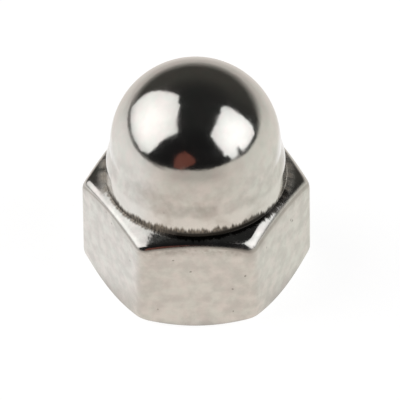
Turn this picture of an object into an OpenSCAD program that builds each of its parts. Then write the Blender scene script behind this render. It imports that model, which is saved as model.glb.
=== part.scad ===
// Cap nut (acorn nut), M5 size, turned and polished in one piece from hexagon bar.
// The origin is at the centre of the bearing face and +Z points through the top of the dome.
// Two of the flats face +Y and -Y, so two of the corners lie on the X axis.

/* [Hexagon] */
// Width across flats
across_flats = 8; // [7.6:0.01:9]
// Height of the flats at the middle of each one, above the bearing face
flat_height = 4.7; // [4:0.01:6]
// How much is turned off each sharp corner of the hexagon, measured from the axis
corner_break = 0.05; // [0.01:0.005:0.3]

/* [Shoulder] */
// Slope of the turned shoulder between the flats and the dome, in degrees
shoulder_slope = 23; // [15:1:40]

/* [Dome] */
// Diameter of the dome
dome_width = 6.84; // [6:0.01:7.2]
// Diameter of the neck where it meets the shoulder
foot_width = 7.3; // [6.9:0.01:7.8]
// Diameter of the neck under its flare
neck_width = 7.17; // [6.85:0.01:7.3]
// Height of the flare's lower end above the shoulder
flare_start = 0.9; // [0.5:0.05:1.1]
// Height of the flare's upper end above the shoulder
flare_end = 1.5; // [1.2:0.01:1.7]
// Height of the neck, from the shoulder up to the middle of the dome's ball
neck_height = 1.731; // [1.3:0.001:4]

/* [Bearing face] */
// Distance from a flat in to the edge of the flat bearing face
bearing_inset = 0.3; // [0.05:0.005:0.6]
// Slope of the chamfer under the corners, in degrees
bearing_slope = 32; // [15:1:40]

/* [Thread] */
// Thread diameter
thread_size = 5; // [4:0.5:5.5]
// Thread pitch, which sets the core hole that is drilled for the tap
thread_pitch = 0.8; // [0.5:0.05:1]
// Solid metal between the tip of the drilled hole and the top of the dome
crown_wall = 1.1; // [0.8:0.1:2.5]
// Angle of the drill's point, in degrees
drill_point = 118; // [90:1:140]
// Radial clearance of the countersink's mouth beyond the thread
mouth_clearance = 0.25; // [0.05:0.05:0.4]
// Full angle of the countersink, in degrees
mouth_angle = 90; // [60:5:120]

/* [Hidden] */
$fn = 96;
over = 1;                                     // how far a cutting shape runs past what it cuts

half_flats = across_flats / 2;
half_corners = half_flats / cos(30);
corner_r = half_corners - corner_break;

dome_r = dome_width / 2;
neck_r = neck_width / 2;
foot_r = foot_width / 2;
foot_z = flat_height + (half_flats - foot_r) * tan(shoulder_slope);
dome_centre = foot_z + neck_height;
total_height = dome_centre + dome_r;

bearing_r = half_flats - bearing_inset;

core_r = (thread_size - thread_pitch) / 2;
tip_depth = core_r / tan(drill_point / 2);
core_depth = total_height - crown_wall - tip_depth;
mouth_r = thread_size / 2 + mouth_clearance;
mouth_depth = (mouth_r - core_r) / tan(mouth_angle / 2);

// The lathe's profile, from the bearing face out and up to the top of the neck
function turned_points() = [
    [0, 0],
    [bearing_r, 0],
    [corner_r, (corner_r - bearing_r) * tan(bearing_slope)],
    [corner_r, flat_height + (half_flats - corner_r) * tan(shoulder_slope)],
    [foot_r, foot_z],
    [neck_r, foot_z + flare_start],
    [dome_r, foot_z + flare_end],
    [dome_r, dome_centre],
    [0, dome_centre]
];

// Hexagon bar, turned to the lathe's profile up to the neck
module turned_bar() {
    intersection() {
        linear_extrude(dome_centre + over) circle(half_corners, $fn = 6);
        rotate_extrude() polygon(turned_points());
    }
}

module dome() {
    translate([0, 0, dome_centre]) sphere(dome_r);
}

// Blind hole: countersunk mouth, core hole for the thread and the cone that the drill leaves
module core_hole() {
    rotate_extrude()
        polygon([[0, -over], [mouth_r + over * tan(mouth_angle / 2), -over], [core_r, mouth_depth],
                 [core_r, core_depth], [0, core_depth + tip_depth]]);
}

module cap_nut() {
    color([0.78, 0.77, 0.75])
        difference() {
            union() {
                turned_bar();
                dome();
            }
            core_hole();
        }
}

cap_nut();
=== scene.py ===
import math
from collections import namedtuple

import bmesh
import bpy
from bpy.props import FloatProperty, FloatVectorProperty, PointerProperty
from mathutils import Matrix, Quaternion, Vector


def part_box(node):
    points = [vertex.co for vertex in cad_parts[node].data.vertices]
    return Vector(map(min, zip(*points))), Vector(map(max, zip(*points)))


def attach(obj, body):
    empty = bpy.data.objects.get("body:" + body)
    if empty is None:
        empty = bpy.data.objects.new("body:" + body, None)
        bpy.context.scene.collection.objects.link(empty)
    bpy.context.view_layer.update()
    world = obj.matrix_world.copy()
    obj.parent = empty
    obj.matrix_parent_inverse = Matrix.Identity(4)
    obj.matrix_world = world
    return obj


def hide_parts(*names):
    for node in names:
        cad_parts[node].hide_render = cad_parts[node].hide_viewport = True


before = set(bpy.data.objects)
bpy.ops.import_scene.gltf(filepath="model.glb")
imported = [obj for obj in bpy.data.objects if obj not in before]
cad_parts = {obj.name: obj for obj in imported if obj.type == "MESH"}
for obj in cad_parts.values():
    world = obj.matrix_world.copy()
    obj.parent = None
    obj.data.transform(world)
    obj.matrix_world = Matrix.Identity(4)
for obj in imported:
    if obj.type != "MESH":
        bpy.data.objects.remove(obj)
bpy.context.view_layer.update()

bl_info = {
    "name": "Cap Nut",
    "version": (1, 0, 0),
    "blender": (4, 5, 0),
    "location": "View3D > Sidebar > Cap Nut",
    "description": "A polished steel cap nut with a cut thread, and the studio it stands in",
    "category": "Add Mesh",
}

MM = 0.001
NODE = "cap_nut"
BODY = "root"
NUT_NAME = "cap_nut_body"
FLATS = 6
SECTOR = math.tau / FLATS
HALF_SECTOR = SECTOR / 2
FLAT_FACING = -math.pi / 2          # one flat faces -Y
FLARE_TOP = 0.6                     # the flare's upper rounding, as a share of its lower one
FOOT_LEDGE = 0.06 * MM              # the least width of shoulder between a flat's rounding and the neck
THREAD_HALF_ANGLE = math.radians(30)
PLAIN_END = 0.3                     # plain length at the end of the hole, in pitches
OUTSIDE, BORE = 0, 1                # the material slots of the mesh
WELD = 1e-7                         # vertices closer than this are one

CORNER_COLUMNS = 5                  # mesh columns across half a corner's edge
FLAT_COLUMNS = 19                   # and across half a flat
STRAIGHT_ROWS = 4                   # mesh rows on a straight between two roundings
NECK_ROWS = 3                       # on the flare and on the straight over it
BEARING_ROWS = 3                    # on the bearing face's edge
SHOULDER_ROWS = 14                  # on a flat, and on its rounding to the shoulder
ROUNDING_ROWS = 6                   # on any other rounding
DOME_ROWS = 44                      # from the dome's rim to its top
TIP_ROWS = 6                        # on the drilled point

low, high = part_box(NODE)


# ---------------------------------------------------------------- settings

def length(label, about, mm):
    """A length property in metres, from a size in millimetres."""
    return FloatProperty(name=label, description=about, default=mm * MM, min=0.0, precision=5,
                         subtype="DISTANCE", unit="LENGTH")


def lengths(label, about, mm):
    """A property of one length for each flat or corner, in metres, from sizes in millimetres."""
    return FloatVectorProperty(name=label, description=about, default=[v * MM for v in mm], min=0.0,
                               size=FLATS, precision=5, unit="LENGTH")


def angle(label, about, degrees):
    """An angle property in radians, from an angle in degrees."""
    return FloatProperty(name=label, description=about, default=math.radians(degrees),
                         subtype="ANGLE", unit="ROTATION")


def factor(label, about, value, most=1.0):
    """A plain number property."""
    return FloatProperty(name=label, description=about, default=value, min=0.0, max=most)


def colour(label, about, value):
    """A colour property."""
    return FloatVectorProperty(name=label, description=about, default=value, size=3,
                               min=0.0, max=1.0, subtype="COLOR")


class NutShape(bpy.types.PropertyGroup):
    """Sizes of the turned hexagon bar and the dome on it."""
    across_flats: length("Across flats", "Width between two opposite flats", 8.0)
    total_height: length("Height", "From the bearing face to the top of the dome", (high.z - low.z) / MM)
    flat_height: length("Flat height", "Height of a flat at its middle", 4.70)
    shoulder_slope: angle("Shoulder slope", "Slope of the turned shoulder", 23)
    dome_width: length("Dome width", "Diameter of the dome", 6.84)
    foot_width: length("Foot width", "Diameter where the neck meets the shoulder", 7.3)
    neck_width: length("Neck width", "Diameter of the neck under its flare", 7.17)
    flare_start: length("Flare start", "From the neck's foot up to its flare", 0.9)
    flare_end: length("Flare end", "From the neck's foot up to the end of the flare", 1.5)
    flare_rounding: length("Flare rounding", "Rounding at both ends of the flare", 1.3)
    foot_fillet: length("Foot fillet", "Hollow fillet where the neck meets the shoulder", 0.05)
    flat_roundings: lengths("Flat roundings",
                            "Rounding from each flat's middle to the shoulder, to the right from the front",
                            (0.43, 0.7, 0.5, 0.4, 0.5, 0.28))
    corner_roundings: lengths("Corner roundings",
                              "Rounding from each corner to the shoulder, to the right from the front",
                              (0.45, 0.75, 0.8, 0.5, 0.5, 0.6))
    corner_edges: lengths("Corner edges",
                          "Polished edge between two flats at each corner, to the right from the front",
                          (0.6, 0.55, 0.37, 0.42, 0.42, 0.37))
    bearing_inset: length("Bearing inset", "From a flat in to the edge of the bearing face", 0.3)
    bearing_slope: angle("Bearing slope", "Slope of the chamfer under the corners", 32)
    bearing_rounding: length("Bearing rounding",
                             "Polished edge between a flat's middle and the chamfer", 0.18)
    corner_bearing_rounding: length("Corner bearing rounding",
                                    "Polished edge between a corner and the chamfer", 0.45)


class NutThread(bpy.types.PropertyGroup):
    """Sizes of the blind threaded hole."""
    size: length("Thread size", "Diameter at the thread's roots", 5.0)
    pitch: length("Pitch", "Distance between two turns", 0.8)
    crown_wall: length("Crown wall", "From the drill's tip to the top of the dome", 1.1)
    drill_point: angle("Drill point", "Full angle of the drill's point", 118)
    mouth_clearance: length("Mouth clearance", "From the thread's root out to the countersink's rim", 0.25)
    mouth_angle: angle("Mouth angle", "Full angle of the countersink", 90)
    run_out: length("Run-out", "Plain length above the last full turn", 0.9)
    root_flat: length("Root flat", "Width of the thread's root", 0.1)


class NutFinish(bpy.types.PropertyGroup):
    """Colours and polish of the steel."""
    steel: colour("Steel", "Colour of the polished steel", (0.72, 0.702, 0.675))
    roughness: factor("Roughness", "Roughness of the polished faces", 0.1)
    bore_steel: colour("Bore steel", "Colour of the cut thread", (0.52, 0.5, 0.47))
    bore_roughness: factor("Bore roughness", "Roughness of the cut thread", 0.32)


class NutStudio(bpy.types.PropertyGroup):
    """Camera, lamps, floor and room."""
    elevation: angle("Camera elevation", "Height of the camera above the horizon", 44)
    roll: angle("Camera roll", "Turn of the camera about its own axis", -0.75)
    distance: length("Camera distance", "From the camera to the point it looks at", 500)
    frame_width: length("Frame width", "Width of the picture at the nut", 16.06)
    aim_side: length("Aim to the side", "How far right of the axis the camera looks", 0.1506)
    aim_height: length("Aim height", "Height of the point the camera looks at", 3.354)
    left_lamp: factor("Left lamp", "Brightness of the left softbox", 1.48, 10)
    right_lamp: factor("Right lamp", "Brightness of the right softbox", 1.53, 10)
    warm_card: factor("Warm card", "Brightness of the small warm card in front", 0.17, 10)


def settings():
    """The scene's settings of this add-on."""
    return bpy.context.scene.cap_nut


# ---------------------------------------------------------------- shape of a section

def arc_corner(before, corner, after, radius, steps, most=math.pi):
    """Points of an arc of this radius that rounds a corner of a path, cut off after a turn of most."""
    come = (corner - before).normalized()
    leave = (after - corner).normalized()
    turn = math.acos(max(-1.0, min(1.0, come.dot(leave))))
    reach = radius * math.tan(turn / 2)
    start = corner - come * reach
    side = Vector((-come.y, come.x))
    if side.dot(leave) < 0:
        side = -side
    centre = start + side * radius
    turn = min(turn, most)
    points = []
    for k in range(steps + 1):
        a = turn * k / steps
        points.append(centre - side * radius * math.cos(a) + come * radius * math.sin(a))
    return points


def straight(a, b, steps):
    """Points between a and b, without the ends."""
    return [a.lerp(b, k / steps) for k in range(1, steps)]


def outline_radius(shape, turn, rounding):
    """Radius of the hexagon's outline with its corners rounded, at an angle from the middle of a flat."""
    flat = shape.across_flats / 2
    centre = (flat - rounding) / math.cos(HALF_SECTOR)
    from_corner = HALF_SECTOR - abs(turn)
    touch = math.atan2(rounding * math.sin(HALF_SECTOR), centre + rounding * math.cos(HALF_SECTOR))
    if from_corner >= touch:
        return flat / math.cos(turn)
    across = centre * math.sin(from_corner)
    return centre * math.cos(from_corner) + math.sqrt(rounding ** 2 - across ** 2)


def column_turns(shape):
    """Angles of one sector's columns from the middle of its flat, closer together at its corners."""
    flat = shape.across_flats / 2
    rounding = max(shape.corner_edges)
    centre = (flat - rounding) / math.cos(HALF_SECTOR)
    touch = math.atan2(rounding * math.sin(HALF_SECTOR), centre + rounding * math.cos(HALF_SECTOR))
    edge = HALF_SECTOR - touch
    half = [HALF_SECTOR - touch * k / CORNER_COLUMNS for k in range(CORNER_COLUMNS)]
    half += [edge * (1 - k / FLAT_COLUMNS) for k in range(FLAT_COLUMNS)]
    return [-t for t in half] + [0.0] + half[:0:-1]


def mouth_radius(thread):
    """Radius of the countersink's rim."""
    return thread.size / 2 + thread.mouth_clearance


def outer_section(shape, thread, turn, sector):
    """The nut's outside in one upright half-plane, from the countersink's rim to the top of the dome."""
    flat = shape.across_flats / 2
    dome = shape.dome_width / 2
    dome_centre = shape.total_height - dome
    foot = shape.foot_width / 2
    corner = (sector + (turn > 0)) % FLATS
    reach = outline_radius(shape, turn, shape.corner_edges[corner])
    bearing = flat - shape.bearing_inset
    slope = math.tan(shape.shoulder_slope)
    foot_height = shape.flat_height + (flat - foot) * slope
    towards_corner = (reach - flat) / (outline_radius(shape, HALF_SECTOR, shape.corner_edges[corner]) - flat)
    shoulder = shape.flat_roundings[sector]
    shoulder += (shape.corner_roundings[corner] - shoulder) * towards_corner
    under = shape.bearing_rounding
    under += (shape.corner_bearing_rounding - under) * towards_corner
    rim = Vector((mouth_radius(thread), 0))
    path = [
        rim,
        Vector((bearing, 0)),
        Vector((reach, (reach - bearing) * math.tan(shape.bearing_slope))),
        Vector((reach, shape.flat_height + (flat - reach) * slope)),
        Vector((foot, foot_height)),
        Vector((shape.neck_width / 2, foot_height + shape.flare_start)),
        Vector((dome, foot_height + shape.flare_end)),
        Vector((dome, dome_centre)),
    ]
    under_arc = arc_corner(*path[1:4], under, ROUNDING_ROWS)
    # A wide rounding that would pass the neck's foot is cut off there, and the foot is moved onto it
    most = math.acos(max(-1.0, min(1.0, 1 - (reach - foot - FOOT_LEDGE) / shoulder)))
    shoulder_arc = arc_corner(*path[2:5], shoulder, SHOULDER_ROWS, most)
    if most < math.pi / 2 - shape.shoulder_slope:
        path[3] = shoulder_arc[-1]
        path[4] = Vector((foot, path[3].y + FOOT_LEDGE / math.tan(most)))
    arcs = (        # each after the number of rows on the straight that leads to it
        (STRAIGHT_ROWS, arc_corner(*path[0:3], shape.bearing_rounding, BEARING_ROWS)),
        (STRAIGHT_ROWS, under_arc),
        (SHOULDER_ROWS, shoulder_arc),
        (STRAIGHT_ROWS, arc_corner(*path[3:6], shape.foot_fillet, ROUNDING_ROWS)),
        (STRAIGHT_ROWS, arc_corner(*path[4:7], shape.flare_rounding, ROUNDING_ROWS)),
        (NECK_ROWS, arc_corner(*path[5:8], shape.flare_rounding * FLARE_TOP, ROUNDING_ROWS)),
    )
    points = [rim]
    for steps, arc in arcs:
        points += straight(points[-1], arc[0], steps) + arc
    points += straight(points[-1], path[-1], NECK_ROWS)
    for k in range(DOME_ROWS):
        a = math.pi / 2 * k / DOME_ROWS
        points.append(path[-1] + Vector((dome * (math.cos(a) - 1), dome * math.sin(a))))
    return points


def thread_wave(thread, core, at):
    """Radius of the thread's profile at a height within one pitch."""
    depth = thread.size / 2 - core
    flank = depth * math.tan(THREAD_HALF_ANGLE)
    from_root = abs((at / thread.pitch) % 1.0 - 0.5) * thread.pitch
    rise = (from_root - thread.root_flat / 2) / flank
    return thread.size / 2 - depth * max(0.0, min(1.0, rise))


def thread_rows(thread, core):
    """Heights within one pitch at which the thread's profile needs a row, from a crest's middle."""
    depth = thread.size / 2 - core
    flank = depth * math.tan(THREAD_HALF_ANGLE)
    root = thread.root_flat / 2
    from_middle = (0.0, root * 0.9, root * 1.4, root + flank * 0.5, root + flank * 0.92, root + flank * 1.08)
    half = [0.5 - reach / thread.pitch for reach in from_middle]
    return [0.0] + half[::-1] + [1 - h for h in half[1:]]


def smooth(x):
    """Smooth step from 0 to 1."""
    x = max(0.0, min(1.0, x))
    return x * x * (3 - 2 * x)


# ---------------------------------------------------------------- the nut's mesh

def add_face(mesh, corners, material):
    """A smooth face with a material."""
    face = mesh.faces.new(corners)
    face.material_index = material
    face.smooth = True


def add_ring(mesh, angles, radius_heights):
    """A ring of vertices, each at its own angle, radius and height."""
    return [mesh.verts.new((r * math.cos(a), r * math.sin(a), z))
            for a, (r, z) in zip(angles, radius_heights)]


def join_rings(mesh, rings, material):
    """Faces between every two rings that follow each other."""
    for a, b in zip(rings, rings[1:]):
        for j in range(len(a)):
            n = (j + 1) % len(a)
            add_face(mesh, (a[j], a[n], b[n], b[j]), material)


def close_ring(mesh, ring, point, material):
    """Faces from a ring to one point."""
    for j in range(len(ring)):
        add_face(mesh, (ring[j], ring[(j + 1) % len(ring)], point), material)


def add_bore(mesh, angles, shape, thread):
    """The countersink, the thread with its run-out, and the drilled end."""
    core = (thread.size - thread.pitch) / 2
    tip = core / math.tan(thread.drill_point / 2)
    end = shape.total_height - thread.crown_wall - tip
    mouth = mouth_radius(thread)
    mouth_slope = math.tan(thread.mouth_angle / 2)
    rows = thread_rows(thread, core)
    turns = math.ceil(end / thread.pitch) + 1
    heights = [(k + r - 1) * thread.pitch for k in range(turns) for r in rows]
    heights.append((turns - 1) * thread.pitch)
    last = len(heights) - 1

    def add_column(a):
        climb = thread.pitch * ((a - angles[0]) / math.tau)
        column = []
        for row in heights:
            z = max(0.0, min(end, row + climb))
            wave = thread_wave(thread, core, row)
            fade = smooth((end - PLAIN_END * thread.pitch - z) / thread.run_out)
            r = max(core + (wave - core) * fade, mouth - z * mouth_slope)
            column.append(mesh.verts.new((r * math.cos(a), r * math.sin(a), z)))
        return column

    columns = [add_column(a) for a in angles]
    for j, here in enumerate(columns):
        wraps = j == len(columns) - 1
        there = columns[0] if wraps else columns[j + 1]
        shift = len(rows) if wraps else 0       # once round, the thread has climbed one pitch
        for i in range(last):
            p, q = min(i + shift, last), min(i + 1 + shift, last)
            beside = (there[q], there[p]) if q != p else (there[p],)
            add_face(mesh, (here[i], here[i + 1], *beside), BORE)

    point = mesh.verts.new((0, 0, end + tip))
    rings = []
    for k in range(TIP_ROWS):
        height = end + tip * k / TIP_ROWS
        rings.append(add_ring(mesh, angles, [(core * (1 - k / TIP_ROWS), height)] * len(angles)))
    join_rings(mesh, rings[::-1], BORE)
    close_ring(mesh, rings[-1], point, BORE)


def nut_mesh(shape, thread):
    """The whole nut as one closed mesh: outside, bearing face, countersink, thread and drilled end."""
    angles = []
    sections = []
    for k in range(FLATS):
        for turn in column_turns(shape):
            angles.append(FLAT_FACING + k * SECTOR + turn)
            sections.append(outer_section(shape, thread, turn, k))
    mesh = bmesh.new()
    rings = [add_ring(mesh, angles, level) for level in zip(*sections)]
    join_rings(mesh, rings, OUTSIDE)
    close_ring(mesh, rings[-1], mesh.verts.new((0, 0, shape.total_height)), OUTSIDE)
    add_bore(mesh, angles, shape, thread)
    bmesh.ops.remove_doubles(mesh, verts=mesh.verts, dist=WELD)
    bmesh.ops.dissolve_degenerate(mesh, edges=mesh.edges, dist=WELD)
    bmesh.ops.recalc_face_normals(mesh, faces=mesh.faces)
    return mesh


# ---------------------------------------------------------------- shader nodes

def new_material(name):
    """An empty node material and its tree."""
    material = bpy.data.materials.new(name)
    material.use_nodes = True
    material.node_tree.nodes.clear()
    return material, material.node_tree


def feed(tree, value, socket):
    """Put a number, a colour or a link into a socket."""
    if isinstance(value, (int, float)):
        socket.default_value = value
    elif isinstance(value, tuple):
        socket.default_value = (*value, 1)
    else:
        tree.links.new(value, socket)


def math_node(tree, operation, *values):
    """A Math node on links or numbers."""
    node = tree.nodes.new("ShaderNodeMath")
    node.operation = operation
    for socket, value in zip(node.inputs, values):
        feed(tree, value, socket)
    return node.outputs[0]


def times(tree, *values):
    """The product of links or numbers."""
    product = values[0]
    for value in values[1:]:
        product = math_node(tree, "MULTIPLY", product, value)
    return product


def scaled(tree, value, share, base):
    """A value times a share, added to a base, each a link or a number."""
    return math_node(tree, "MULTIPLY_ADD", value, share, base)


def step_node(tree, value, start, end):
    """A smooth step of a value from 0 at start to 1 at end, each a link or a number."""
    node = tree.nodes.new("ShaderNodeMapRange")
    node.interpolation_type = "SMOOTHSTEP"
    feed(tree, value, node.inputs["Value"])
    feed(tree, start, node.inputs["From Min"])
    feed(tree, end, node.inputs["From Max"])
    return node.outputs["Result"]


def window_node(tree, value, start, full, ease, end):
    """A smooth rise of a value from start to full, and its smooth fall from ease to end."""
    return times(tree, step_node(tree, value, start, full), step_node(tree, value, end, ease))


def mix_node(tree, factor, a, b):
    """A colour mix of a to b, each a link or a colour."""
    node = tree.nodes.new("ShaderNodeMix")
    node.data_type = "RGBA"
    feed(tree, factor, node.inputs["Factor"])
    for name, value in (("A", a), ("B", b)):
        feed(tree, value, next(i for i in node.inputs if i.name == name and i.type == "RGBA"))
    return next(o for o in node.outputs if o.type == "RGBA")


def combine_node(tree, x, y, z):
    """A vector from three links or numbers."""
    node = tree.nodes.new("ShaderNodeCombineXYZ")
    for socket, value in zip(node.inputs, (x, y, z)):
        feed(tree, value, socket)
    return node.outputs[0]


def split_node(tree, vector):
    """The x, y and z of a vector."""
    node = tree.nodes.new("ShaderNodeSeparateXYZ")
    tree.links.new(vector, node.inputs[0])
    return tuple(node.outputs)


def vector_node(tree, operation, vector):
    """A Vector Math node on one vector."""
    node = tree.nodes.new("ShaderNodeVectorMath")
    node.operation = operation
    tree.links.new(vector, node.inputs[0])
    return node


def length_node(tree, vector):
    """The length of a vector."""
    return vector_node(tree, "LENGTH", vector).outputs["Value"]


def noise_node(tree, place, scale, detail=2.0, rough=0.5, offset=None):
    """A noise texture's value, from 0 to 1 round a half; another offset gives another pattern."""
    node = tree.nodes.new("ShaderNodeTexNoise")
    if offset:
        moved = vector_node(tree, "ADD", place)
        moved.inputs[1].default_value = offset
        place = moved.outputs["Vector"]
    tree.links.new(place, node.inputs["Vector"])
    feed(tree, scale, node.inputs["Scale"])
    node.inputs["Detail"].default_value = detail
    node.inputs["Roughness"].default_value = rough
    return node.outputs[0]


def blend_shaders(tree, factor, a, b):
    """A mix of shader a to shader b."""
    node = tree.nodes.new("ShaderNodeMixShader")
    for socket, link in zip(node.inputs, (factor, a, b)):
        tree.links.new(link, socket)
    return node.outputs[0]


def new_group(name, inputs, outputs):
    """A node group with named sockets: its tree, its inputs by name and its output node."""
    tree = bpy.data.node_groups.new(name, "ShaderNodeTree")
    for label, kind, value in inputs:
        socket = tree.interface.new_socket(label, in_out="INPUT", socket_type=kind)
        if value is not None:
            socket.default_value = value
    for label, kind in outputs:
        tree.interface.new_socket(label, in_out="OUTPUT", socket_type=kind)
    start = tree.nodes.new("NodeGroupInput")
    return tree, start.outputs, tree.nodes.new("NodeGroupOutput")


def use_group(tree, group, place, **values):
    """A copy of a group in a material, with its own values."""
    node = tree.nodes.new("ShaderNodeGroup")
    node.node_tree = group
    tree.links.new(place, node.inputs["Place"])
    for label, value in values.items():
        node.inputs[label.replace("_", " ")].default_value = value
    return node.outputs


Spot = namedtuple("Spot", "place radius z side_x side_y")


def lathe_parts(tree, place):
    """A place with its distance from the nut's axis, its height, and its direction sideways as x and y."""
    x, y, z = split_node(tree, place)
    squares = math_node(tree, "ADD", times(tree, x, x), times(tree, y, y))
    radius = math_node(tree, "SQRT", squares)
    safe = math_node(tree, "MAXIMUM", radius, 0.01 * MM)
    side_x = math_node(tree, "DIVIDE", x, safe)
    return Spot(place, radius, z, side_x, math_node(tree, "DIVIDE", y, safe))


def polishing_marks():
    """Group: the height of polishing waves, of turned rings and of grain drawn along the axis."""
    tree, given, end = new_group("polishing_marks", [
        ("Place", "NodeSocketVector", None), ("Wave Height", "NodeSocketFloat", 1e-6),
        ("Ring Height", "NodeSocketFloat", 1e-7), ("Grain Height", "NodeSocketFloat", 1e-6)],
        [("Height", "NodeSocketFloat")])
    at = lathe_parts(tree, given["Place"])
    wide = times(tree, noise_node(tree, at.place, scale=900, detail=1), 2.2)
    fine = noise_node(tree, at.place, scale=2700, offset=(0.03, 0.01, 0.02))
    ripple = noise_node(tree, at.place, scale=6800, detail=1, offset=(0.007, 0.02, 0.013))
    fine = scaled(tree, ripple, 0.35, fine)
    waves = times(tree, math_node(tree, "ADD", wide, fine), given["Wave Height"])
    rings = noise_node(tree, combine_node(tree, at.radius, at.z, 0.0), scale=11000)
    rings = times(tree, rings, given["Ring Height"])
    drawn = combine_node(tree, at.side_x, at.side_y, times(tree, at.z, 35.0))
    grain = times(tree, noise_node(tree, drawn, scale=17), given["Grain Height"])
    total = math_node(tree, "ADD", waves, math_node(tree, "ADD", rings, grain))
    tree.links.new(total, end.inputs["Height"])
    return tree


def steel_smudges():
    """Group: soft patches of a warmer and a cooler cast, and of a hazier polish."""
    tree, given, end = new_group("steel_smudges", [
        ("Place", "NodeSocketVector", None), ("Patch Scale", "NodeSocketFloat", 1500.0)],
        [("Cast", "NodeSocketFloat"), ("Shade", "NodeSocketFloat"), ("Haze", "NodeSocketFloat")])
    for label, offset, detail, start, full in (("Cast", (0.011, 0.002, 0.007), 3, 0.32, 0.68),
                                               ("Shade", (0.004, 0.019, 0.001), 4, 0.3, 0.7),
                                               ("Haze", (0.008, 0.005, 0.023), 4, 0.4, 0.75)):
        patches = noise_node(tree, given["Place"], scale=given["Patch Scale"], detail=detail, offset=offset)
        tree.links.new(step_node(tree, patches, start, full), end.inputs[label])
    return tree


def steel_pits():
    """Group: a mask of small scattered pits."""
    tree, given, end = new_group("steel_pits", [
        ("Place", "NodeSocketVector", None), ("Spacing Scale", "NodeSocketFloat", 1650.0),
        ("Pit Share", "NodeSocketFloat", 0.3)], [("Mask", "NodeSocketFloat")])
    cells = tree.nodes.new("ShaderNodeTexVoronoi")
    bend = noise_node(tree, given["Place"], scale=5200)
    wobble = tree.nodes.new("ShaderNodeVectorMath")
    wobble.operation = "SCALE"
    wobble.inputs[0].default_value = (0.00012, 0.00009, 0.0001)
    tree.links.new(bend, wobble.inputs["Scale"])
    bent = tree.nodes.new("ShaderNodeVectorMath")
    tree.links.new(given["Place"], bent.inputs[0])
    tree.links.new(wobble.outputs["Vector"], bent.inputs[1])
    tree.links.new(bent.outputs["Vector"], cells.inputs["Vector"])
    tree.links.new(given["Spacing Scale"], cells.inputs["Scale"])
    parts = tree.nodes.new("ShaderNodeSeparateColor")
    tree.links.new(cells.outputs["Color"], parts.inputs["Color"])
    chosen = math_node(tree, "LESS_THAN", parts.outputs["Red"], given["Pit Share"])
    size = scaled(tree, parts.outputs["Green"], 0.09, 0.05)
    near = step_node(tree, cells.outputs["Distance"], size, times(tree, size, 0.35))
    tree.links.new(times(tree, near, chosen), end.inputs["Mask"])
    return tree


# ---------------------------------------------------------------- materials

PIT = (0.15, 0.135, 0.12)
# A smudge on the dome's front, its dimmer reflection painted in as a darker colour
SMUDGE_SHADE = (0.2, 0.19, 0.17)
# Painted light low on the neck
NECK_FOOT_LIGHT = (0.79, 0.775, 0.75)
BLOTCH = (0.3, 0.26, 0.22)
GRIME_DARK = (0.055, 0.047, 0.04)
GRIME_PALE = (0.27, 0.235, 0.195)
# Painted shade, darkest in the neck's crease
CREASE_SHADE_COLOUR = (0.03, 0.027, 0.024)
# Rubbed wear on the flats' upper edges, and painted shade where their rounding starts to face upward
WORN_AND_SHADE = (0.25, 0.225, 0.2)
# Painted reflection: a pale, non-metallic colour on the shoulder's rims
PALE_RIM_LIGHT = (0.62, 0.55, 0.46)


def steel_base(tree, groups, place, steel, patch, cast, shade, pit_share, pit_zone=1.0, dull_share=0.5):
    """Mottled steel colour with pits, and the haze and pit masks."""
    smudge = use_group(tree, groups["smudges"], place, Patch_Scale=patch)
    pit = use_group(tree, groups["pits"], place, Pit_Share=pit_share)["Mask"]
    pit = times(tree, pit, pit_zone)
    warm = tuple(c * (1 + cast * k) for c, k in zip(steel, (1.0, -0.45, -0.3)))
    cool = tuple(c * (1 + cast * k) for c, k in zip(steel, (-1.0, 0.45, -0.1)))
    dull = tuple(c * (1 - shade) for c in steel)
    color = mix_node(tree, smudge["Cast"], warm, cool)
    color = mix_node(tree, times(tree, smudge["Shade"], dull_share), color, dull)
    color = mix_node(tree, times(tree, pit, 0.75), color, PIT)
    return color, smudge["Haze"], pit


def smudges_and_painted_light(tree, at, color):
    """The steel's colour with a smudge on the dome's front whose dimmer reflection is painted as a darker
    colour, painted light low on the neck, and brown blotches on the neck.
    """
    # A smudge on the dome's front, its dimmer reflection painted in as a darker colour
    dull = times(tree, step_node(tree, at.side_y, -0.6, -0.95),
                 window_node(tree, at.z, 6.1 * MM, 6.7 * MM, 7.8 * MM, 8.6 * MM))
    color = mix_node(tree, times(tree, dull, 0.1), color, SMUDGE_SHADE)
    # Painted light: lighter steel low on the neck, where it reflects brighter paper farther away
    lit_neck_foot = times(tree, step_node(tree, at.z, 5.9 * MM, 5.6 * MM),
                  math_node(tree, "LESS_THAN", at.radius, 3.7 * MM))
    color = mix_node(tree, times(tree, lit_neck_foot, 0.6), color, NECK_FOOT_LIGHT)
    blotch = noise_node(tree, at.place, scale=800, detail=3, rough=0.6, offset=(0.001, 0.0, 0.013))
    blotch = times(tree, step_node(tree, blotch, 0.48, 0.72), step_node(tree, at.side_y, -0.4, -0.8),
                   window_node(tree, at.z, 5.0 * MM, 5.3 * MM, 6.4 * MM, 7.2 * MM))
    return mix_node(tree, times(tree, blotch, 0.32), color, BLOTCH)


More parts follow.
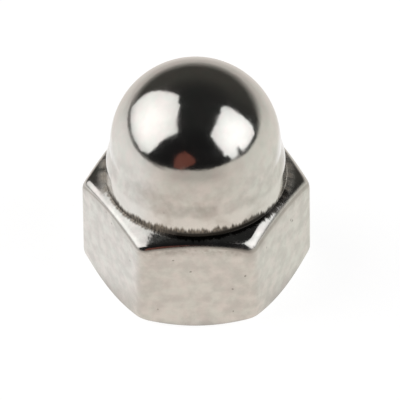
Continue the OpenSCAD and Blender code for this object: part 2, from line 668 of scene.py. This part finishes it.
def grime_and_crease_shade(tree, at, around):
    """Ragged grime in the crease at the neck's foot, with painted shade deepest in the crease: its mask, its
    colour and the noise of its teeth.
    """
    front = step_node(tree, at.side_y, -0.1, -0.5)
    # How far the grime climbs up the neck
    upright = combine_node(tree, at.side_x, at.side_y, times(tree, at.z, 18.0))
    teeth = noise_node(tree, upright, scale=26, detail=4, rough=0.6)
    patches = noise_node(tree, around, scale=5, detail=1, offset=(3.0, 1.0, 0.0))
    top = scaled(tree, teeth, 0.55 * MM, 4.66 * MM)
    top = scaled(tree, patches, 0.3 * MM, top)
    top = scaled(tree, front, 0.14 * MM, top)
    for begin, full, rise in ((-0.4, -0.8, -0.13), (0.15, 0.45, -0.05), (0.62, 0.8, -0.2)):
        top = scaled(tree, step_node(tree, at.side_x, begin, full), rise * MM, top)
    below = step_node(tree, math_node(tree, "SUBTRACT", at.z, top), 0.08 * MM, -0.12 * MM)
    # How far it spreads on the shoulder
    rim = noise_node(tree, around, scale=26, detail=3, rough=0.65, offset=(1.0, 4.0, 2.0))
    rim = scaled(tree, rim, 0.32 * MM, 3.56 * MM)
    rim = scaled(tree, step_node(tree, at.side_x, -0.5, -0.15), 0.09 * MM, rim)
    inside = step_node(tree, math_node(tree, "SUBTRACT", at.radius, rim), 0.07 * MM, -0.04 * MM)
    mask = times(tree, below, inside, math_node(tree, "GREATER_THAN", at.z, 4.4 * MM))
    # Painted shade, where the crease is darkest: low in it except at the left, and all the way up at the
    # right
    crease_shade = times(tree, step_node(tree, at.z, 5.12 * MM, 4.97 * MM), step_node(tree, at.side_x, -0.5, -0.2))
    crease_shade = math_node(tree, "MAXIMUM", crease_shade, times(tree, step_node(tree, at.side_x, 0.1, 0.6), 0.7))
    crease_shade = times(tree, crease_shade, scaled(tree, step_node(tree, at.side_x, 0.75, 0.95), -0.7, 1.0))
    spots = step_node(tree, noise_node(tree, around, scale=45, detail=3, rough=0.6), 0.36, 0.64)
    color = mix_node(tree, crease_shade, mix_node(tree, spots, GRIME_DARK, GRIME_PALE), CREASE_SHADE_COLOUR)
    amount = math_node(tree, "MAXIMUM", scaled(tree, front, 0.25, 0.7), crease_shade)
    return times(tree, mask, amount), color, teeth


def worn_and_shaded_edges(tree, at, upward):
    """The zone along the flats' upper edges, and how dark the steel is: rubbed wear in that zone, and painted
    shade where the rounding starts to face upward.
    """
    shape = settings().shape
    slope = math.tan(shape.shoulder_slope)
    outside = times(tree, math_node(tree, "GREATER_THAN", at.radius, 3.82 * MM),
                    math_node(tree, "GREATER_THAN", at.z, 3.0 * MM))
    cone = scaled(tree, at.radius, -slope, shape.flat_height + shape.across_flats / 2 * slope)
    under = math_node(tree, "SUBTRACT", cone, at.z)
    zone = times(tree, window_node(tree, under, 0.04 * MM, 0.14 * MM, 0.3 * MM, 0.7 * MM), outside)
    worn = step_node(tree, noise_node(tree, at.place, scale=3400, detail=3, rough=0.6), 0.2, 0.8)
    share = scaled(tree, step_node(tree, at.side_y, -0.85, -0.93), 0.25, 0.28)
    # Painted shade: a darker line where the rounding's normal tilts a little upward
    line = times(tree, window_node(tree, upward, 0.1, 0.32, 0.4, 0.5), outside)
    worn_and_shaded = math_node(tree, "MAXIMUM", times(tree, zone, worn, share), times(tree, line, 0.5))
    return zone, worn_and_shaded


def painted_pale_rims(tree, at, around, upward):
    """Mask of a painted pale reflection on the upward-facing shoulder, along the rear side flats and beside
    the neck.
    """
    beside = math_node(tree, "ABSOLUTE", at.side_x)
    across = scaled(tree, beside, math.cos(HALF_SECTOR), times(tree, at.side_y, math.sin(HALF_SECTOR)))
    by_flats = step_node(tree, times(tree, across, at.radius), 3.76 * MM, 3.98 * MM)
    by_neck = times(tree, step_node(tree, at.radius, 4.05 * MM, 3.75 * MM),
                    step_node(tree, beside, 0.9, 0.97),
                    step_node(tree, noise_node(tree, around, scale=9), 0.3, 0.6))
    pale_rims = math_node(tree, "MAXIMUM", times(tree, by_flats, 0.55), times(tree, by_neck, 0.62))
    return times(tree, pale_rims, step_node(tree, upward, 0.55, 0.85),
                 math_node(tree, "LESS_THAN", at.z, 5.2 * MM))


def finish_steel(tree, shader, color, rough, height):
    """Join a steel's colour, roughness and relief to its shader, and the shader to the output."""
    tree.links.new(color, shader.inputs["Base Color"])
    tree.links.new(rough, shader.inputs["Roughness"])
    bump = tree.nodes.new("ShaderNodeBump")
    bump.inputs["Distance"].default_value = 1.0
    tree.links.new(height, bump.inputs["Height"])
    tree.links.new(bump.outputs["Normal"], shader.inputs["Normal"])
    out = tree.nodes.new("ShaderNodeOutputMaterial")
    tree.links.new(shader.outputs["BSDF"], out.inputs["Surface"])


def steel_material(finish, groups):
    """Polished steel, with a rough dark ring of grime and painted shade in the crease at the foot of the
    neck.
    """
    material, tree = new_material("polished_steel")
    steel = tree.nodes.new("ShaderNodeBsdfPrincipled")
    coordinates = tree.nodes.new("ShaderNodeTexCoord")
    at = lathe_parts(tree, coordinates.outputs["Object"])
    upward = split_node(tree, coordinates.outputs["Normal"])[2]
    around = combine_node(tree, at.side_x, at.side_y, times(tree, at.z, 60.0))
    on_dome = step_node(tree, at.z, 6.6 * MM, 7.8 * MM)
    off_dome = step_node(tree, at.radius, 3.52 * MM, 3.6 * MM)

    color, haze, pit = steel_base(tree, groups, at.place, finish.steel, patch=2100.0, cast=0.02, shade=0.34,
                                  pit_share=0.8, pit_zone=off_dome,
                                  dull_share=scaled(tree, on_dome, -0.35, 0.5))
    color = smudges_and_painted_light(tree, at, color)
    # Grime in the crease at the neck's foot, with painted shade deepest in it
    grime_and_shade, grime_and_shade_color, teeth = grime_and_crease_shade(tree, at, around)
    color = mix_node(tree, grime_and_shade, color, grime_and_shade_color)
    # Rubbed wear along the flats' upper edges, and painted shade on the rounding above them
    edge, worn_and_shaded = worn_and_shaded_edges(tree, at, upward)
    color = mix_node(tree, worn_and_shaded, color, WORN_AND_SHADE)
    # Painted reflection: pale, non-metallic steel on the shoulder's rims along the rear flats and beside the
    # neck, standing for their bright reflection
    pale_rims = painted_pale_rims(tree, at, around, upward)
    color = mix_node(tree, pale_rims, color, PALE_RIM_LIGHT)
    tree.links.new(scaled(tree, pale_rims, -1.0, 1.0), steel.inputs["Metallic"])

    rough = scaled(tree, haze, 0.05, finish.roughness)
    for mask, more in ((pale_rims, 0.3), (pit, 0.15), (grime_and_shade, 0.12), (edge, 0.12)):
        rough = scaled(tree, mask, more, rough)
    marks = use_group(tree, groups["marks"], at.place,
                      Wave_Height=2.6e-6, Ring_Height=5e-8, Grain_Height=1e-6)
    height = scaled(tree, pit, -1.5e-6, marks["Height"])
    height = scaled(tree, times(tree, grime_and_shade, teeth), 1.5e-6, height)
    finish_steel(tree, steel, color, rough, height)
    return material


def bore_material(finish, groups):
    """Cut steel for the thread, duller than the outside."""
    material, tree = new_material("cut_steel")
    steel = tree.nodes.new("ShaderNodeBsdfPrincipled")
    steel.inputs["Metallic"].default_value = 1.0
    place = tree.nodes.new("ShaderNodeTexCoord").outputs["Object"]
    color, haze, pit = steel_base(tree, groups, place, finish.bore_steel, patch=1900.0, cast=0.05, shade=0.3,
                                  pit_share=0.5)
    rough = scaled(tree, haze, 0.15, finish.bore_roughness)
    rough = scaled(tree, pit, 0.2, rough)
    marks = use_group(tree, groups["marks"], place,
                      Wave_Height=1e-6, Ring_Height=1.2e-6, Grain_Height=1e-6)
    finish_steel(tree, steel, color, rough, scaled(tree, pit, -1e-5, marks["Height"]))
    return material


# ---------------------------------------------------------------- studio

# The paper's and the room's tones, as the polished steel shows them; on the floor, painted light and shade of
# the paper
PAPER_LEFT = (0.97, 0.955, 0.93)
PAPER_RIGHT = (0.84, 0.825, 0.765)
PAPER_FRONT = (0.84, 0.78, 0.715)
PAPER_BACK = (0.8, 0.755, 0.71)
# Painted light: brighter paper close behind the nut
PAPER_NEAR = (1.0, 0.99, 0.975)      # close behind the nut
# Painted shadow on the paper round the nut's foot
SHADOW_UNDER_NUT = (0.6, 0.575, 0.55)
ROOM_FRONT = (0.011, 0.011, 0.0115)
ROOM_TOP = (0.0205, 0.021, 0.0205)
ROOM_BACK = (0.058, 0.056, 0.05)

# The lamps' outlines from the nut: azimuth and elevation of each corner, in degrees
LEFT_LAMP = ((-218, 2), (-166, 2), (-157, 5.5), (-152.5, 12), (-149.5, 21), (-146, 31), (-140.5, 40),
             (-134, 46), (-129, 51.5), (-141, 57.5), (-153, 64), (-170, 69), (-190, 70.5), (-206, 69),
             (-212, 66), (-229, 63), (-228, 48), (-227.5, 35), (-226, 22), (-222, 11))
WARM_CARD = ((-118, 6), (-108, 4.5), (-103, 9), (-95, 13.5), (-90.5, 18), (-93, 22), (-100, 27.5), (-107, 30),
             (-113, 27), (-118.5, 21))
RIGHT_LAMP = ((-41, 7), (-31, 7), (-29.5, 16), (-27, 16.5), (-24, 7), (3, 7), (8, 12), (9.5, 20), (12, 35),
              (16, 47), (16, 53), (13, 56.5), (3, 57.5), (-12, 59), (-30, 57.5), (-45, 54.5), (-60, 47.5),
              (-57, 40), (-53.5, 31), (-50, 23), (-50, 16), (-44.5, 14))

FLOOR_HALF_WIDTH = 40.0
FLOOR_DROP = 0.005 * MM             # how far the paper lies under the bearing face
FLOOR_GREY = 0.3                    # the part of the floor's white, to the camera, that shadows take away
FLOOR_GLOW = 0.9                    # and the part that they don't


def direction(azimuth, elevation):
    """A unit vector from an azimuth and an elevation in degrees; azimuth 0 is +X and -90 the front."""
    a, e = math.radians(azimuth), math.radians(elevation)
    return Vector((math.cos(e) * math.cos(a), math.cos(e) * math.sin(a), math.sin(e)))


def new_object(name, data):
    """A new object in the scene."""
    item = bpy.data.objects.new(name, data)
    bpy.context.scene.collection.objects.link(item)
    return item


def lamp_sheet(name, corners, middle, distance, color, strength, falloff):
    """A flat lamp seen from the nut as a polygon, dimmer away from its middle and at its lower end."""
    facing = direction(*middle)
    points = []
    for corner in corners:
        ray = direction(*corner)
        points.append(ray * (distance / ray.dot(facing)) - facing * distance)
    mesh = bpy.data.meshes.new(name)
    mesh.from_pydata(points, [], [tuple(range(len(points)))])
    lamp = new_object(name, mesh)
    lamp.location = facing * distance
    material, tree = new_material(name)
    result = tree.nodes.new("ShaderNodeOutputMaterial")
    glow = tree.nodes.new("ShaderNodeEmission")
    place = tree.nodes.new("ShaderNodeTexCoord").outputs["Object"]
    outward = step_node(tree, length_node(tree, place), 0.0, distance)
    level = scaled(tree, outward, -strength * falloff, strength)
    lower = scaled(tree, step_node(tree, split_node(tree, place)[2], -0.2, -0.45), -0.24, 1.0)
    tree.links.new(times(tree, level, lower), glow.inputs["Strength"])
    glow.inputs["Color"].default_value = (*color, 1)
    tree.links.new(glow.outputs["Emission"], result.inputs["Surface"])
    mesh.materials.append(material)
    lamp.visible_camera = False


def paper_tone(tree, x, y):
    """The pale paper's tone round the nut, from the sideways parts of a direction."""
    front = step_node(tree, times(tree, y, -1.0), 0.3, 0.95)
    right = step_node(tree, x, -0.2, 0.8)
    back = step_node(tree, y, 0.4, 1.0)
    tone = mix_node(tree, right, PAPER_LEFT, PAPER_RIGHT)
    tone = mix_node(tree, front, tone, PAPER_FRONT)
    return mix_node(tree, back, tone, PAPER_BACK)


def far_shade(tree, y):
    """How much of its light the paper loses far from the nut, most of it in front and behind."""
    behind = scaled(tree, step_node(tree, y, 0.3, 0.8), 0.16, 0.1)
    return scaled(tree, step_node(tree, times(tree, y, -1.0), 0.7, 0.97), 0.24, behind)


def floor_tone(tree, place):
    """The floor's painted light and shade as the polished steel shows them, from a place on the floor."""
    x, y = split_node(tree, vector_node(tree, "NORMALIZE", place).outputs["Vector"])[:2]
    away = length_node(tree, place)
    # Painted shadow round the nut's foot
    tone = mix_node(tree, step_node(tree, away, 0.0038, 0.0048), SHADOW_UNDER_NUT, paper_tone(tree, x, y))
    far_back = times(tree, step_node(tree, y, 0.0, 0.9), step_node(tree, away, 0.03, 0.25), 0.2)
    far_left = times(tree, step_node(tree, times(tree, x, -1.0), 0.5, 0.85),
                     step_node(tree, away, 0.09, 0.2), 0.85)
    far = times(tree, step_node(tree, away, 0.008, 0.06), far_shade(tree, y))
    # Painted shade on the paper far from the nut
    for darker in (far_back, far_left, far):
        tone = mix_node(tree, darker, tone, ROOM_BACK)
    # Painted light close behind the nut
    close_behind = times(tree, step_node(tree, y, 0.3, 0.7), step_node(tree, away, 0.013, 0.0095))
    return mix_node(tree, close_behind, tone, PAPER_NEAR)


def make_floor():
    """A wide white floor that keeps the nut's shadow, and shows painted light and shade of its paper in the
    polished steel.
    """
    mesh = bpy.data.meshes.new("floor")
    corners = ((-1, -1), (1, -1), (1, 1), (-1, 1))
    mesh.from_pydata([(x * FLOOR_HALF_WIDTH, y * FLOOR_HALF_WIDTH, -FLOOR_DROP) for x, y in corners],
                     [], [(0, 1, 2, 3)])
    floor = new_object("floor", mesh)
    material, tree = new_material("floor_paper")
    result = tree.nodes.new("ShaderNodeOutputMaterial")
    paths = tree.nodes.new("ShaderNodeLightPath")
    side = tree.nodes.new("ShaderNodeNewGeometry")
    clear = tree.nodes.new("ShaderNodeBsdfTransparent")
    paper = tree.nodes.new("ShaderNodeBsdfDiffuse")
    paper.inputs["Color"].default_value = (FLOOR_GREY, FLOOR_GREY, FLOOR_GREY, 1)
    white = tree.nodes.new("ShaderNodeEmission")
    white.inputs["Strength"].default_value = FLOOR_GLOW
    seen = tree.nodes.new("ShaderNodeAddShader")
    tree.links.new(paper.outputs[0], seen.inputs[0])
    tree.links.new(white.outputs[0], seen.inputs[1])
    mirrored = tree.nodes.new("ShaderNodeEmission")
    place = tree.nodes.new("ShaderNodeTexCoord").outputs["Object"]
    tree.links.new(floor_tone(tree, place), mirrored.inputs["Color"])
    above = blend_shaders(tree, paths.outputs["Is Camera Ray"], mirrored.outputs[0], seen.outputs[0])
    both = blend_shaders(tree, side.outputs["Backfacing"], above, clear.outputs[0])
    tree.links.new(both, result.inputs["Surface"])
    mesh.materials.append(material)


def make_world():
    """White to the camera; to reflections, a dim room behind a pale paper that curves up a little."""
    world = bpy.data.worlds.new("studio_room")
    bpy.context.scene.world = world
    world.use_nodes = True
    tree = world.node_tree
    tree.nodes.clear()
    result = tree.nodes.new("ShaderNodeOutputWorld")
    paths = tree.nodes.new("ShaderNodeLightPath")
    white = tree.nodes.new("ShaderNodeBackground")
    white.inputs["Color"].default_value = (1, 1, 1, 1)
    room = tree.nodes.new("ShaderNodeBackground")
    x, y, z = split_node(tree, tree.nodes.new("ShaderNodeTexCoord").outputs["Generated"])
    front = step_node(tree, times(tree, y, -1.0), 0.2, 0.8)
    back = step_node(tree, y, 0.0, 0.9)
    left = step_node(tree, times(tree, x, -1.0), 0.15, 0.7)
    right = step_node(tree, x, 0.3, 0.9)
    # How high over the horizon the paper starts and ends to darken, and what each side adds to that
    start, end = 0.0, 0.03
    sides = ((front, 0.06, 0.075), (back, -0.2, 0.24), (left, -0.07, -0.07), (right, 0.0, 0.03))
    for part, start_more, end_more in sides:
        start = scaled(tree, part, start_more, start)
        end = scaled(tree, part, end_more, end)
    rise = step_node(tree, z, start, end)
    dark = mix_node(tree, front, ROOM_TOP, ROOM_FRONT)
    dark = mix_node(tree, times(tree, back, step_node(tree, z, 0.97, 0.5)), dark, ROOM_BACK)
    paper = mix_node(tree, far_shade(tree, y), paper_tone(tree, x, y), ROOM_BACK)
    tree.links.new(mix_node(tree, rise, paper, dark), room.inputs["Color"])
    both = blend_shaders(tree, paths.outputs["Is Camera Ray"], room.outputs[0], white.outputs[0])
    tree.links.new(both, result.inputs["Surface"])


def make_camera(studio):
    """A long lens that looks down at the nut from the front."""
    data = bpy.data.cameras.new("camera")
    camera = new_object("camera", data)
    bpy.context.scene.camera = camera
    back = Vector((0, -math.cos(studio.elevation), math.sin(studio.elevation)))
    target = Vector((studio.aim_side, 0, studio.aim_height))
    camera.location = target + back * studio.distance
    camera.rotation_mode = "QUATERNION"
    aim = (-back).to_track_quat("-Z", "Y")
    camera.rotation_quaternion = aim @ Quaternion((0, 0, 1), studio.roll)
    data.sensor_width = 36.0
    data.lens = data.sensor_width * studio.distance / studio.frame_width
    data.clip_start = 0.05
    data.clip_end = 100.0


# ---------------------------------------------------------------- operators

class CAPNUT_OT_nut(bpy.types.Operator):
    """Make the cap nut's body in place of its plain solid"""
    bl_idname = "cap_nut.nut"
    bl_label = "Make the Cap Nut"

    def execute(self, context):
        props = settings()
        body = nut_mesh(props.shape, props.thread)
        mesh = bpy.data.meshes.new(NUT_NAME)
        body.to_mesh(mesh)
        body.free()
        nut = new_object(NUT_NAME, mesh)
        groups = {"marks": polishing_marks(), "smudges": steel_smudges(), "pits": steel_pits()}
        mesh.materials.append(steel_material(props.finish, groups))
        mesh.materials.append(bore_material(props.finish, groups))
        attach(nut, BODY)
        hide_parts(NODE)
        return {"FINISHED"}


class CAPNUT_OT_stage(bpy.types.Operator):
    """Make the floor, the lamps, the room and the camera"""
    bl_idname = "cap_nut.stage"
    bl_label = "Make the Studio"

    def execute(self, context):
        studio = settings().studio
        make_floor()
        make_world()
        lamp_sheet("left_softbox", LEFT_LAMP, middle=(-183, 30), distance=1.0,
                   color=(1.0, 0.995, 0.985), strength=studio.left_lamp, falloff=0.31)
        lamp_sheet("right_softbox", RIGHT_LAMP, middle=(-19, 28), distance=1.0,
                   color=(0.995, 0.997, 1.0), strength=studio.right_lamp, falloff=0.46)
        lamp_sheet("warm_card", WARM_CARD, middle=(-107, 17), distance=0.7,
                   color=(1.0, 0.36, 0.27), strength=studio.warm_card, falloff=0.6)
        make_camera(studio)
        context.scene.view_settings.view_transform = "Standard"
        return {"FINISHED"}


class CAPNUT_PT_panel(bpy.types.Panel):
    """The cap nut's buttons"""
    bl_label = "Cap Nut"
    bl_idname = "CAPNUT_PT_panel"
    bl_space_type = "VIEW_3D"
    bl_region_type = "UI"
    bl_category = "Cap Nut"

    def draw(self, context):
        for operator in OPERATORS:
            self.layout.operator(operator.bl_idname)


class CapNutSettings(bpy.types.PropertyGroup):
    """All of the add-on's settings."""
    shape: PointerProperty(type=NutShape)
    thread: PointerProperty(type=NutThread)
    finish: PointerProperty(type=NutFinish)
    studio: PointerProperty(type=NutStudio)


OPERATORS = (CAPNUT_OT_nut, CAPNUT_OT_stage)
CLASSES = (NutShape, NutThread, NutFinish, NutStudio, CapNutSettings, *OPERATORS, CAPNUT_PT_panel)


def register():
    for item in CLASSES:
        bpy.utils.register_class(item)
    bpy.types.Scene.cap_nut = PointerProperty(type=CapNutSettings)


def unregister():
    del bpy.types.Scene.cap_nut
    for item in reversed(CLASSES):
        bpy.utils.unregister_class(item)


def main():
    register()
    bpy.ops.cap_nut.nut()
    bpy.ops.cap_nut.stage()


if __name__ == "__main__":
    main()
